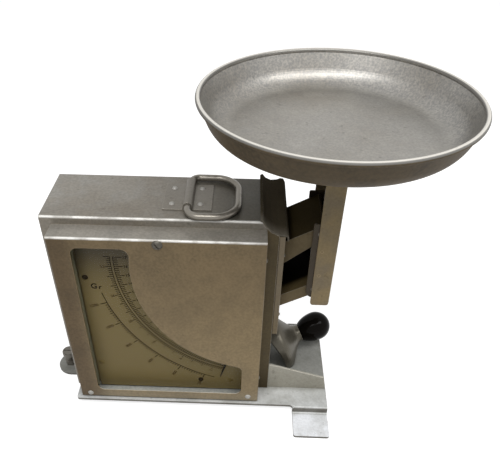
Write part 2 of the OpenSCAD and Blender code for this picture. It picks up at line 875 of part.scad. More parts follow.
// Round plate under the pan
module pan_support() {
    color("silver") bar_z(pan_x, 0, 46, post_top + 2, post_top + 4);
}

pan_arc_r = 24.5;
pan_floor_r = 85;
pan_t = 1.6;
bead_r = 2.2;
pan_low = pan_z - pan_d;
pan_wall_r = pan_r - bead_r + 0.4;
lean = 25;           // where the curve of the pan's side ends, up from level

// Half of the pan's section: the inner face is set in by the sheet's thickness and closed over the rim
function pan_profile(off, roof) = concat([[0, pan_low + off]],
    arc([pan_floor_r, pan_low + pan_arc_r], pan_arc_r - off, -90, -lean, 14),
    [[pan_wall_r - off * 1.05, pan_z - 0.5], [pan_wall_r - off * 1.05, pan_z + roof], [0, pan_z + roof]]);

// Round dished pan with a beaded rim
module pan() {
    color("silver") translate([pan_x, 0, 0]) rotate_extrude($fn = 128) union() {
        difference() {
            polygon(pan_profile(0, 0));
            polygon(pan_profile(pan_t, 10));
        }
        translate([pan_r - bead_r, pan_z]) circle(bead_r);
    }
}

/* The carrying ring */

eye_r = ring_r + 1.3;                      // outer radius of the strap's loop
ring_z = case_top + ring_r + 0.5;
ring_y = -4.4;                             // the ring hangs a little to the front in its strap
strap_front = -23;
strap_back = 21;
strap_rivet_places = [for (x = [-53.5, -28], y = [-13.5, 13.5]) [x, y]];

// Strap on the case's top, with a raised loop for the ring's straight bar
module handle_strap() {
    color("darkgray") difference() {
        union() {
            top_view(case_top, case_top + 1) round_rect([-61.5, strap_front], [-17.5, strap_back], 0.6);
            intersection() {
                bar_y(ring_x, ring_z, eye_r, strap_front, strap_back);
                translate([ring_x - 10, strap_front - 1, case_top]) cube([20, 50, 20]);
            }
            front_view(strap_front, strap_back) polygon([
                [ring_x - eye_r - 0.6, case_top], [ring_x + eye_r + 0.6, case_top],
                [ring_x + eye_r - 0.2, ring_z], [ring_x - eye_r + 0.2, ring_z]]);
        }
        bar_y(ring_x, ring_z, ring_r + run, -30, 30);
        for (p = strap_rivet_places) bar_z(p[0], p[1], 1.5, case_top - 1, case_top + 3);
    }
}

module strap_rivets() {
    color("white") for (p = strap_rivet_places) {
        bar_z(p[0], p[1], 1.5, case_top - case_t - 0.8, case_top + 1);
        head_up(p, case_top + 1, 2.7, 1.5);
    }
}

// Quarter turn of the ring's wire with bend radius b round [x, y], starting from angle a
module wire_bend(x, y, b, a) {
    translate([x, y, ring_z]) rotate([0, 0, a]) rotate_extrude(angle = 90) translate([b, 0]) circle(ring_r);
}

// D-shaped ring: a straight bar in the strap's loop, tight bends beside it and wide ones at the far end
module handle_ring() {
    front_bend = 12;
    back_bend = 8;
    far_bend = 22;
    y0 = ring_y - ring_w / 2;
    y1 = ring_y + ring_w / 2;
    x1 = ring_x + ring_l;
    color("gray") {
        bar_y(ring_x, ring_z, ring_r, y0 + front_bend, y1 - back_bend);
        wire_bend(ring_x + back_bend, y1 - back_bend, back_bend, 90);
        wire_bend(ring_x + front_bend, y0 + front_bend, front_bend, 180);
        bar_x(y1, ring_z, ring_r, ring_x + back_bend, x1 - far_bend);
        bar_x(y0, ring_z, ring_r, ring_x + front_bend, x1 - far_bend);
        wire_bend(x1 - far_bend, y1 - far_bend, far_bend, 0);
        wire_bend(x1 - far_bend, y0 + far_bend, far_bend, 270);
        bar_y(x1, ring_z, ring_r, y0 + far_bend, y1 - far_bend);
    }
}

/* The locking lever */

// Fixed shaft of the lever, between the cheeks
module lever_shaft() {
    color("silver") bar_y(lever_x, lever_z, lever_pin_r, -half_d + case_t + 0.1, half_d - case_t - 0.1);
}

// Two collars that keep the lever in its place on the shaft
module shaft_collars() {
    color("gray") for (y = [lever_hub[0] - 4, lever_hub[1] + 0.4]) difference() {
        bar_y(lever_x, lever_z, 5.5, y, y + 3.6);
        bar_y(lever_x, lever_z, lever_pin_r, -50, 50);
    }
}

lever_hub = [10, 28];    // front and back ends of the lever's hub
lever_arm = [22, 27];    // front and back of the lever's flat arm
lever_t = 2;
bell_l = 38;

// Puts a child drawn along Z on the neck's axis: Z runs from the neck into the knob
module along_neck() {
    tilt = 20;
    turn = 15;
    translate([neck_x, neck_y, neck_z]) rotate([0, 90 - tilt, turn]) children();
}

// Radius of the bell's outer face at distance d from the end of its neck: it flares like a horn,
// rounds over and ends nearly straight
function flare(d) = neck_r + (bell_r - neck_r) * (1 - cos(180 * min(1, max(0, (d - 2) / 23)))) / 2;

// The bell as a solid of revolution, set in by off from its outer face
module bell(off) {
    rotate_extrude() polygon(concat([[0, 0], [neck_r - off, 0]],
        [for (d = [2:2:bell_l]) [flare(d) - off, -d]], [[0, -bell_l]]));
}

// Lever: a bell of sheet metal, cut off at its mouth, over a flat arm that turns on the shaft
module lock_lever() {
    mouth = [57.8, -8.3, 28.2];         // a point of the plane of the bell's mouth
    color("silver") difference() {
        union() {
            intersection() {
                difference() {
                    along_neck() bell(0);
                    along_neck() translate([0, 0, -7]) bell(lever_t);
                    translate(mouth) rotate([0, 109, 220]) translate([-60, -60, 0]) cube([120, 120, 60]);
                }
                union() {
                    translate([44, -30, base_top + 1.2]) cube([60, 58.5, 80]);
                    translate([70, -30, base_top + 8]) cube([30, 80, 80]);
                }
            }
            front_view(lever_arm[0], lever_arm[1]) strip([lever_x, lever_z], [71, lever_z - 1.5], 6);
            bar_y(lever_x, lever_z, 8, lever_hub[0], lever_hub[1]);
        }
        bar_y(lever_x, lever_z, lever_pin_r + run, -50, 50);
    }
}

// Knob: an egg with its narrow end on the lever's neck
module lock_knob() {
    wide = knob_l - knob_r;                                   // from the neck to the thickest place
    reach = wide / sqrt(1 - pow(neck_r / knob_r, 2));         // half length of the narrow end's ellipse
    start = asin(wide / reach);
    color("black") along_neck() rotate_extrude() polygon(concat([[0, 0]],
        [for (i = [10:-1:1]) [knob_r * cos(start * i / 10), wide - reach * sin(start * i / 10)]],
        [for (i = [0:15]) [knob_r * cos(i * 6), wide + knob_r * sin(i * 6)]]));
}

base_plate();
base_fasteners();
levelling_screw();
levelling_nut();
front_cheek();
rear_cheek();
cheek_spacers();
case_shell();
rear_cover();
rear_cover_screws();
side_rails();
rail_rivets();
hood();
front_cover();
cover_rivets();
cover_screw();
cover_side_screws();
window_glass();
dial_plate();
dial_rivets();
pointer();
pivot_bushes();
beam_axle();
upper_beam();
pendulum_rod();
counterweight();
trim_nuts();
rest_stop();
link_axle();
lower_link();
post_channel();
post_strips();
post_pins();
post_rivets();
post_head();
pan_support();
pan();
handle_strap();
strap_rivets();
handle_ring();
shaft_collars();
lever_shaft();
lock_lever();
lock_knob();
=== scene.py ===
import json
from math import cos, degrees, pi, radians, sin

import bpy
import bmesh
from mathutils import Matrix, Vector


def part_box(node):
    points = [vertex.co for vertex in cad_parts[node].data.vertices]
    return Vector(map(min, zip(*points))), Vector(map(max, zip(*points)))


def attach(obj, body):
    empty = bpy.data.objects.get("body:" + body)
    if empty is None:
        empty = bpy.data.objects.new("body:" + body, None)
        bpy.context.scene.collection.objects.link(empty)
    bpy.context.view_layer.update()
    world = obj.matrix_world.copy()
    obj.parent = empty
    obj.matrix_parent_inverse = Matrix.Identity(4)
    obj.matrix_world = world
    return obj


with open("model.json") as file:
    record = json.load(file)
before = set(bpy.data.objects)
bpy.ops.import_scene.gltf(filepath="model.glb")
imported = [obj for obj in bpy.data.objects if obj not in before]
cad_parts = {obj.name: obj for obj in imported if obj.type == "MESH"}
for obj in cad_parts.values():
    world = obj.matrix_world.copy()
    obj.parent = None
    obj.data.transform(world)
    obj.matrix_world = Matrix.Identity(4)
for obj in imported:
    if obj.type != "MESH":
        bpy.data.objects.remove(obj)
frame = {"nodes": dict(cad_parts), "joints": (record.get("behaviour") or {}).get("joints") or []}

bl_info = {
    "name": "Pan Scale Dresser",
    "version": (1, 0, 0),
    "blender": (4, 5, 0),
    "location": "View3D > Sidebar > Pan Scale",
    "description": "Finishes, dial print, small pieces, light and camera for a dial scale with a round pan",
    "category": "Object",
}

MM = 0.001
LEFT, RIGHT = (-1, 0, 0), (1, 0, 0)
FRONT, BACK = (0, -1, 0), (0, 1, 0)
DOWN, UP = (0, 0, -1), (0, 0, 1)
LOWER_LEFT = (-1, 0, -1)

# Dial print, in mm

beam_swing = next(joint for joint in frame["joints"] if joint["name"] == "beam_swing")
BEAM_PIVOT = (beam_swing["pos_m"][0] / MM, beam_swing["pos_m"][2] / MM)     # across, and above the floor
PRINT_LIFT = 0.06               # how far the print stands in front of the dial plate
PRINT_DEPTH = 0.05              # thickness of the lines
FIGURE_DEPTH = 0.02             # how far the figures stand out of their own plane
ARC_STEPS = 60                  # straight stretches in a curved line
DOUBLE_LINE_HALF = 1.3          # from the middle of the double line to either line
MAIN_LINE, MAIN_STROKE = 0.6, 0.8               # widths on the main scale
MAIN_PARTS = 5                  # strokes for each figured step
MAIN_FIGURED, MAIN_PLAIN = (8.0, 6.0), (4.2, 3.4)       # strokes' reach inwards and outwards
MAIN_FIGURE = (4.4, -12.0)      # height of the figures, and distance outwards from the double line's middle
SMALL_FIGURE = (4.0, 9.6)       # the same for the small figures, which stand at every third figured step
SECOND_LINE, SECOND_STROKE = 0.8, 0.95          # widths on the second scale
SECOND_PARTS, SECOND_UNIT = 10, 200             # strokes for each figured step, and what the step stands for
SECOND_FIGURED, SECOND_HALF, SECOND_PLAIN = 7.0, 4.0, 3.0       # strokes' reach outwards
SECOND_FIGURE = (4.8, 14.0)     # height of the figures, and distance outwards from the thin line
SECOND_RUN_OUT = (4.0, 4.6)     # degrees that the thin line runs on past its first and last stroke
UNIT_MARK = (("G", 8.6, (-127.4, 156.4)), ("r", 6.8, (-121.8, 155.6)))         # letter, height and place
MARGIN = (14.0, 1.6)            # left and right edge of the margin strip, left of the dial plate's own edge
MARGIN_SETBACK, MARGIN_DEPTH = 0.2, 0.6         # its front behind the dial plate's, and its thickness

# Finishes

GRAIN_STRETCH = (60.0, 60.0, 900.0)     # waves per metre of the sheet's grain
RELIEF = 0.0002                 # depth of grain and specks, in metres
FLECK = (0.04, 0.032, 0.022)    # colour of dark flecks on sheet

# Each kind of handling mark: the noise's scale and detail, and the values where it starts and is full
MARK_KINDS = {
    "Clouds": (14.0, 5.0, 0.35, 0.68),
    "Patches": (55.0, 4.0, 0.42, 0.66),
    "Speckle": (420.0, 2.0, 0.30, 0.70),
    "Flecks": (150.0, 3.0, 0.64, 0.74),
}


# Meshes

def add_piece(name, mesh, body, material):
    """Links a mesh as a piece that rides on a body of the scale."""
    piece = bpy.data.objects.new(name, mesh)
    bpy.context.scene.collection.objects.link(piece)
    mesh.materials.append(material)
    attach(piece, body)


def plate_mesh(name, quads, y_front, depth):
    """Thin upright shapes in the dial's plane: each quad is four (x, z) corners in mm."""
    mesh = bpy.data.meshes.new(name)
    form = bmesh.new()
    for corners in quads:
        rings = []
        for y in (y_front, y_front + depth):
            rings.append([form.verts.new((x * MM, y * MM, z * MM)) for x, z in corners])
        front, back = rings
        form.faces.new(front)
        form.faces.new(back[::-1])
        for i in range(len(corners)):
            j = (i + 1) % len(corners)
            form.faces.new((front[i], back[i], back[j], front[j]))
    bmesh.ops.recalc_face_normals(form, faces=form.faces)
    form.to_mesh(mesh)
    form.free()
    return mesh


def on_dial(radius, angle):
    """Point at a radius from the beam's pivot, at an angle in degrees from straight down towards the left."""
    return (BEAM_PIVOT[0] - radius * sin(radians(angle)), BEAM_PIVOT[1] - radius * cos(radians(angle)))


def dial_tick(angle, inner, outer, width):
    """Quad of a radial line on the dial."""
    half = width / 2
    across = (cos(radians(angle)), -sin(radians(angle)))
    (x0, z0), (x1, z1) = on_dial(inner, angle), on_dial(outer, angle)
    return [(x0 - half * across[0], z0 - half * across[1]), (x0 + half * across[0], z0 + half * across[1]),
            (x1 + half * across[0], z1 + half * across[1]), (x1 - half * across[0], z1 - half * across[1])]


def dial_arc(radius, start, end, width):
    """Quads of a curved line on the dial."""
    quads = []
    for i in range(ARC_STEPS):
        a, b = (start + (end - start) * k / ARC_STEPS for k in (i, i + 1))
        quads.append([on_dial(radius - width / 2, a), on_dial(radius + width / 2, a),
                      on_dial(radius + width / 2, b), on_dial(radius - width / 2, b)])
    return quads


def figure_mesh(text, size, place, y_front, turn=0.0, bold=0.1):
    """Mesh of a figure or letter in the dial's plane, centred at place, with its size in mm."""
    curve = bpy.data.curves.new("figure", "FONT")
    curve.body = text
    curve.size = size * MM
    curve.align_x, curve.align_y = "CENTER", "CENTER"
    curve.extrude = FIGURE_DEPTH * MM
    curve.offset = bold * MM
    curve.resolution_u = 3
    writer = bpy.data.objects.new("figure", curve)
    bpy.context.scene.collection.objects.link(writer)
    bpy.context.view_layer.update()
    mesh = bpy.data.meshes.new_from_object(writer.evaluated_get(bpy.context.evaluated_depsgraph_get()))
    bpy.data.objects.remove(writer)
    bpy.data.curves.remove(curve)
    lifted = Matrix.Translation((place[0] * MM, y_front * MM, place[1] * MM))
    upright = Matrix.Rotation(pi / 2, 4, "X")
    mesh.transform(lifted @ Matrix.Rotation(radians(turn), 4, "Y") @ upright)
    return mesh


def dial_figure(number, figure, radius, angle, y_front):
    """Figure of a given height that stands at a distance from a line of the dial, along its stroke."""
    height, outwards = figure
    return figure_mesh(str(number), height, on_dial(radius + outwards, angle), y_front, angle - 90)


def merge(name, meshes):
    """One mesh of several."""
    form = bmesh.new()
    for mesh in meshes:
        form.from_mesh(mesh)
        bpy.data.meshes.remove(mesh)
    joined = bpy.data.meshes.new(name)
    form.to_mesh(joined)
    form.free()
    return joined


def main_scale(d, y):
    """The double line and its strokes, the figures inside it and the small ones outside it."""
    start, end, middle = degrees(d.main_start), degrees(d.main_end), d.main_radius / MM
    inner, outer = middle - DOUBLE_LINE_HALF, middle + DOUBLE_LINE_HALF
    quads = dial_arc(inner, start, end, MAIN_LINE) + dial_arc(outer, start, end, MAIN_LINE)
    figures, small_figures = [], []
    strokes = d.main_steps * MAIN_PARTS
    for i in range(strokes + 1):
        angle = start + (end - start) * i / strokes
        step, between = divmod(i, MAIN_PARTS)
        inward, outward = MAIN_PLAIN if between else MAIN_FIGURED
        quads.append(dial_tick(angle, inner - inward, inner, MAIN_STROKE))
        quads.append(dial_tick(angle, outer, outer + outward, MAIN_STROKE))
        if not between:
            figures.append(dial_figure(step, MAIN_FIGURE, middle, angle, y))
        if not between and step % 3 == 1:
            small_figures.append(dial_figure(step * 2, SMALL_FIGURE, middle, angle, y))
    return quads, figures, small_figures


def second_scale(d, y):
    """The thin line, its strokes and its small figures."""
    start, end, radius = degrees(d.second_start), degrees(d.second_end), d.second_radius / MM
    quads = dial_arc(radius, start - SECOND_RUN_OUT[0], end + SECOND_RUN_OUT[1], SECOND_LINE)
    figures = []
    strokes = d.second_steps * SECOND_PARTS
    for i in range(strokes + 1):
        angle = start + (end - start) * i / strokes
        step, between = divmod(i, SECOND_PARTS)
        reach = {0: SECOND_FIGURED, SECOND_PARTS // 2: SECOND_HALF}.get(between, SECOND_PLAIN)
        quads.append(dial_tick(angle, radius, radius + reach, SECOND_STROKE))
        if not between:
            figures.append(dial_figure(SECOND_UNIT * (step + 1), SECOND_FIGURE, radius, angle, y))
    return quads, figures


# Shader nodes

def feed(tree, socket, value):
    """Feeds an input from another node's output, or sets it to a plain number, vector or colour."""
    if isinstance(value, bpy.types.NodeSocket):
        tree.links.new(value, socket)
    elif socket.type == "RGBA":
        socket.default_value = (*value[:3], 1.0)
    else:
        socket.default_value = value


def set_inputs(tree, node, values):
    """Feeds or sets several inputs of a node, by their labels."""
    for label, value in values.items():
        feed(tree, node.inputs[label], value)


def math_node(tree, operation, *values):
    """Result of a math node."""
    node = tree.nodes.new("ShaderNodeMath")
    node.operation = operation
    for i, value in enumerate(values):
        feed(tree, node.inputs[i], value)
    return node.outputs[0]


def vector_node(tree, operation, *values):
    """Result of a vector math node: a number for a length or a dot product, a vector for the others."""
    node = tree.nodes.new("ShaderNodeVectorMath")
    node.operation = operation
    for i, value in enumerate(values):
        feed(tree, node.inputs[i], value)
    return node.outputs["Value" if operation in ("DOT_PRODUCT", "LENGTH") else "Vector"]


def map_range(tree, value, low, high):
    """0 at low and 1 at high, rising smoothly between them; low may be the larger one."""
    node = tree.nodes.new("ShaderNodeMapRange")
    node.interpolation_type = "SMOOTHSTEP"
    set_inputs(tree, node, {"Value": value, "From Min": low, "From Max": high})
    return node.outputs["Result"]


def noise(tree, vector, scale, detail):
    """Soft random values between 0 and 1 over the surface."""
    node = tree.nodes.new("ShaderNodeTexNoise")
    set_inputs(tree, node, {"Vector": vector, "Scale": scale, "Detail": detail, "Roughness": 0.55})
    return node.outputs["Fac"]


def grey_of(tree, value):
    """Colour with the same value in all three channels."""
    node = tree.nodes.new("ShaderNodeCombineColor")
    for socket in node.inputs[:3]:
        feed(tree, socket, value)
    return node.outputs[0]


def mix_colour(tree, factor, first, second, blend="MIX"):
    """The first colour turning into the second, or blended with it, by the factor."""
    node = tree.nodes.new("ShaderNodeMix")
    node.data_type = "RGBA"
    node.blend_type = blend
    for socket, value in ((node.inputs["Factor"], factor), (node.inputs[6], first), (node.inputs[7], second)):
        feed(tree, socket, value)
    return node.outputs[2]


def lay_over(tree, tone, mask, share, colour):
    """The tone with a colour laid over it where the mask is, at a share of its full strength."""
    return mix_colour(tree, math_node(tree, "MULTIPLY", mask, share), tone, colour)


def object_place(tree):
    """Place on the scale, in metres."""
    return tree.nodes.new("ShaderNodeTexCoord").outputs["Object"]


def surface_normal(tree):
    """Direction that the surface faces."""
    return tree.nodes.new("ShaderNodeNewGeometry").outputs["Normal"]


def split_axes(tree, vector):
    """The parts X, Y and Z of a vector."""
    node = tree.nodes.new("ShaderNodeSeparateXYZ")
    feed(tree, node.inputs[0], vector)
    return node.outputs


def facing_up(tree):
    """1 on a face that looks straight up, 0 on an upright one and -1 on one that looks down."""
    return split_axes(tree, surface_normal(tree))["Z"]


# Shader groups

def new_group(name, inputs, outputs):
    """Empty shader node group: a kind and a default for each named input, a kind for each named output."""
    tree = bpy.data.node_groups.new(name, "ShaderNodeTree")
    for label, (kind, default) in inputs.items():
        socket = tree.interface.new_socket(label, in_out="INPUT", socket_type=kind)
        socket.default_value = default
    for label, kind in outputs.items():
        tree.interface.new_socket(label, in_out="OUTPUT", socket_type=kind)
    return tree, tree.nodes.new("NodeGroupInput").outputs, tree.nodes.new("NodeGroupOutput")


def place_group(tree, group, **values):
    """Outputs of a shader group placed in a material with its own values."""
    node = tree.nodes.new("ShaderNodeGroup")
    node.node_tree = bpy.data.node_groups[group]
    set_inputs(tree, node, values)
    return node.outputs


def build_grain_group():
    """Brushed or rolled grain: fine noise drawn out along one direction."""
    tree, given, out = new_group("sheet_grain", {"Stretch": ("NodeSocketVector", GRAIN_STRETCH)},
                                 {"Grain": "NodeSocketFloat"})
    drawn_out = vector_node(tree, "MULTIPLY", object_place(tree), given["Stretch"])
    set_inputs(tree, out, {"Grain": noise(tree, drawn_out, scale=1.0, detail=3.0)})


def build_marks_group():
    """Handling marks: soft clouds, small patches, fine speckle and dark flecks."""
    tree, given, out = new_group("handling_marks", {"Scale": ("NodeSocketFloat", 1.0)},
                                 {label: "NodeSocketFloat" for label in MARK_KINDS})
    place = vector_node(tree, "MULTIPLY", object_place(tree), given["Scale"])
    for label, (scale, detail, low, high) in MARK_KINDS.items():
        set_inputs(tree, out, {label: map_range(tree, noise(tree, place, scale, detail), low, high)})


def build_slope_group():
    """Mask that rises from 0 to 1 along one direction of the scale, between two distances in metres."""
    tree, given, out = new_group(
        "tone_slope", {"Direction": ("NodeSocketVector", UP), "From": ("NodeSocketFloat", 0.0),
                       "To": ("NodeSocketFloat", 0.1)}, {"Mask": "NodeSocketFloat"})
    along = vector_node(tree, "DOT_PRODUCT", object_place(tree), given["Direction"])
    set_inputs(tree, out, {"Mask": map_range(tree, along, given["From"], given["To"])})


def build_edge_group():
    """Softened edges: a rounded normal, a mask along edges, and one along bends that face up and forward; the
    masks place painted highlights.
    """
    tree, given, out = new_group(
        "softened_edges", {"Radius": ("NodeSocketFloat", 0.0006)},
        {"Normal": "NodeSocketVector", "Edge": "NodeSocketFloat", "Bend": "NodeSocketFloat"})
    bevel = tree.nodes.new("ShaderNodeBevel")
    bevel.samples = 6
    feed(tree, bevel.inputs["Radius"], given["Radius"])
    rounded, flat = bevel.outputs["Normal"], surface_normal(tree)
    turned = vector_node(tree, "DOT_PRODUCT", rounded, flat)
    facing = split_axes(tree, flat)
    slant = math_node(tree, "MULTIPLY", math_node(tree, "MULTIPLY", facing["Y"], -2.0), facing["Z"])
    set_inputs(tree, out, {"Normal": rounded, "Edge": map_range(tree, turned, 0.999, 0.93),
                           "Bend": map_range(tree, slant, 0.25, 0.85)})


# Materials

def scaled(colour, factor):
    """The colour made lighter or darker by a factor, or by one factor for each channel."""
    factors = factor if isinstance(factor, tuple) else (factor,) * 3
    return tuple(min(1.0, c * k) for c, k in zip(colour, factors))


def ratio(colour, base):
    """What the base colour is multiplied by to give the colour."""
    return tuple(c / max(b, 0.001) for c, b in zip(colour, base))


def blank_material(name):
    """New material with its node tree and its shader."""
    material = bpy.data.materials.new(name)
    material.use_nodes = True
    return material, material.node_tree, material.node_tree.nodes["Principled BSDF"]


def fade(node, direction, start, end, colour=None):
    """Slope towards one side of a CAD node: it starts and ends at distances in mm short of that side."""
    side = max(Vector(direction).dot(corner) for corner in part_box(node))
    return direction, side - start * MM, side - end * MM, colour


def slope_mask(tree, slope):
    """Mask that rises along a slope made by fade()."""
    direction, start, end, _ = slope
    return place_group(tree, "tone_slope", Direction=direction, From=start, To=end)["Mask"]


def sloped_tone(tree, colour, slopes):
    """The colour, turning into the colour of each slope along it."""
    for slope in slopes:
        colour = mix_colour(tree, slope_mask(tree, slope), colour, slope[-1])
    return colour


def add_relief(tree, shader, height, strength, normal=None):
    """Fine relief on the surface from a height between 0 and 1, over a softened normal if there is one."""
    bump = tree.nodes.new("ShaderNodeBump")
    set_inputs(tree, bump, {"Strength": strength, "Distance": RELIEF, "Height": height})
    if normal is not None:
        feed(tree, bump.inputs["Normal"], normal)
    feed(tree, shader.inputs["Normal"], bump.outputs["Normal"])


def worn_metal(name, colour, stain, stain_share=0.5, metallic=0.35, roughness=0.42, gloss=0.25, speckle=0.12,
               patch=None, patch_share=0.3, slopes=(), top_light=None, top_slopes=(), side_shade=None,
               bend_highlight_colour=None, edge_highlight=None, edge_share=0.6, edge_radius=0.0008, line_radius=None):
    """Metal sheet or bar with grain, clouds of handling marks, and painted highlight lines along its softened
    edges.

    Slopes are made by fade(). top_light is painted light and shade on faces that look up, with its own
    slopes, and side_shade is painted shade on upright ones. edge_radius rounds the edges; line_radius, where
    it differs, is the painted highlight line's.
    """
    material, tree, shader = blank_material(name)
    marks = place_group(tree, "handling_marks", Scale=1.0)
    grain = place_group(tree, "sheet_grain", Stretch=GRAIN_STRETCH)["Grain"]
    edges = place_group(tree, "softened_edges", Radius=edge_radius)
    lines = place_group(tree, "softened_edges", Radius=line_radius) if line_radius else edges
    tone = sloped_tone(tree, colour, slopes)
    # painted light and shade: faces that look up take their own tone
    if top_light:
        top_tone = sloped_tone(tree, top_light, top_slopes)
        tone = mix_colour(tree, map_range(tree, facing_up(tree), 0.25, 0.9), tone, top_tone)
    # painted shade on upright faces
    if side_shade:
        tone = mix_colour(tree, map_range(tree, facing_up(tree), 0.8, 0.2), tone, side_shade)
    stained = mix_colour(tree, 1.0, tone, ratio(stain, colour), "MULTIPLY")
    tone = lay_over(tree, tone, marks["Clouds"], stain_share, stained)
    if patch:
        patched = mix_colour(tree, 1.0, tone, ratio(patch, colour), "MULTIPLY")
        tone = lay_over(tree, tone, marks["Patches"], patch_share, patched)
    dots = math_node(tree, "MULTIPLY_ADD", marks["Speckle"], speckle, 1.0 - speckle / 2)
    tone = mix_colour(tree, 1.0, tone, grey_of(tree, dots), "MULTIPLY")
    tone = lay_over(tree, tone, marks["Flecks"], 0.25, FLECK)
    # painted highlight: a brighter line along every softened edge
    tone = lay_over(tree, tone, lines["Edge"], edge_share, edge_highlight or scaled(colour, 1.7))
    # painted highlight on bends that face up and forward, broken up by patches
    if bend_highlight_colour:
        painted_highlight = math_node(tree, "MULTIPLY_ADD", marks["Patches"], -0.6, 0.95)
        tone = lay_over(tree, tone, edges["Bend"], painted_highlight, bend_highlight_colour)
    rough = math_node(tree, "MULTIPLY_ADD", grain, 0.16, roughness - 0.08)
    add_relief(tree, shader, grain, 0.2, edges["Normal"])
    set_inputs(tree, shader, {"Base Color": tone, "Roughness": rough, "Metallic": metallic,
                              "Specular IOR Level": gloss})
    return material


def plain_finish(name, colour, roughness, metallic=0.0, gloss=0.5, mottle=0.25, slopes=()):
    """Finish of a small part: its colour and roughness vary softly, as handling leaves them."""
    material, tree, shader = blank_material(name)
    marks = place_group(tree, "handling_marks", Scale=2.0)
    tone = lay_over(tree, sloped_tone(tree, colour, slopes), marks["Patches"], mottle, scaled(colour, 0.55))
    tone = lay_over(tree, tone, marks["Speckle"], mottle * 0.5, scaled(colour, 1.4))
    rough = math_node(tree, "MULTIPLY_ADD", marks["Clouds"], mottle * 0.25, roughness)
    add_relief(tree, shader, marks["Speckle"], mottle * 0.3)
    set_inputs(tree, shader, {"Base Color": tone, "Roughness": rough, "Metallic": metallic,
                              "Specular IOR Level": gloss})
    return material


def cover_finish(f):
    """Front cover: painted shade darkening it towards its top and its left end, painted light along its lower
    edge, on its upward faces and on its pale inside floor, and painted highlights on its bends.
    """
    return worn_metal(
        "cover_sheet", f.cover, f.cover_stain, stain_share=0.45, patch=f.cover_patch, speckle=0.2,
        # painted light on the cover's upward faces, paler still on its shaded inside floor
        top_light=scaled(f.case_top, 1.2), top_slopes=[fade("front_cover", DOWN, 88.0, 38.0, f.tray)],
        # painted shade towards the upper edge and the left end, painted light along the lower edge
        slopes=[fade("front_cover", UP, 160.5, 10.5, f.cover_high),
                fade("front_cover", DOWN, 20.0, 2.0, f.cover_low),
                fade("front_cover", LEFT, 33.0, 8.0, f.cover_left)],
        bend_highlight_colour=f.bare_metal)


def case_finish(f):
    """Case: its own tone left of and above the cover; behind the cover an olive whose hue is real and whose
    brightness is painted light in the shaded inside; painted shade on the right wall; painted shadow of the
    pan on its top towards the hood; painted highlights on its bends.
    """
    return worn_metal(
        "case_sheet", f.case, f.stain, stain_share=0.6, patch=f.case_patch, patch_share=0.45, speckle=0.2,
        # painted shadow of the pan on the case's top, towards the hood
        top_light=f.case_top, top_slopes=[fade("case_shell", RIGHT, 113.0, 13.0, f.case_right)],
        # painted light on the shaded inside behind the cover; its olive hue is real
        slopes=[fade("front_cover", RIGHT, 189.5, 188.5, f.dial_ground),
                fade("front_cover", UP, 1.5, 0.0, f.case),
                # painted shade on the right wall
                fade("front_cover", RIGHT, 2.0, -1.0, f.case_wall)],
        bend_highlight_colour=f.bare_metal)


def base_finish(f):
    """Base plate: bright at its front edge, with painted shadow of the pan behind the frame plate, painted
    light on the foot pads, and painted shade on its upright faces.
    """
    return worn_metal(
        "bright_sheet", f.bright, scaled(f.bright, 0.8), metallic=0.15, gloss=0.1, patch=f.base_patch,
        # painted shade on upright faces; painted shadow behind the frame plate and painted light on the foot
        # pads
        patch_share=0.5, edge_share=0.05, side_shade=f.base_side,
        slopes=[fade("front_cheek", BACK, 23.5, 13.5, f.deck), fade("base_plate", FRONT, 29.5, 27.0, f.pad)])


def hood_finish(f):
    """Hood: dull, with a dark tone that is painted shade from the pan above it, painted light on its curled
    front edge, and painted highlight lines along its edges.
    """
    return worn_metal(
        # painted shade: the hood's dark tone stands for the pan's shadow over it; its curled front edge takes
        # painted light
        "hood_sheet", f.hood, scaled(f.hood, 0.6), metallic=0.05, roughness=0.5, gloss=0.0,
        slopes=[fade("hood", FRONT, 18.0, -6.0, f.hood_front)],
        edge_highlight=f.case, edge_share=0.8, edge_radius=0.004, line_radius=0.0006)


def arm_finish(name, f, top_light, top_slopes=()):
    """Channel arm: dull and dark, with painted shade on its upward faces, deeper painted shade on its inner
    faces and far flanges, and painted highlight lines along its edges.
    """
    return worn_metal(
        name, f.arm, scaled(f.arm, 0.6), metallic=0.05, roughness=0.45, gloss=0.0, edge_highlight=f.case,
        # painted shade on the inner faces and far flanges
        slopes=[fade("upper_beam", BACK, 61.5, 53.5, f.arm_inside)],
        top_light=top_light, top_slopes=top_slopes)


def post_finish(f):
    """Post under the pan: warm sheet with stains."""
    return worn_metal("post_sheet", f.post, f.stain, metallic=0.15, gloss=0.1, patch=f.stain)


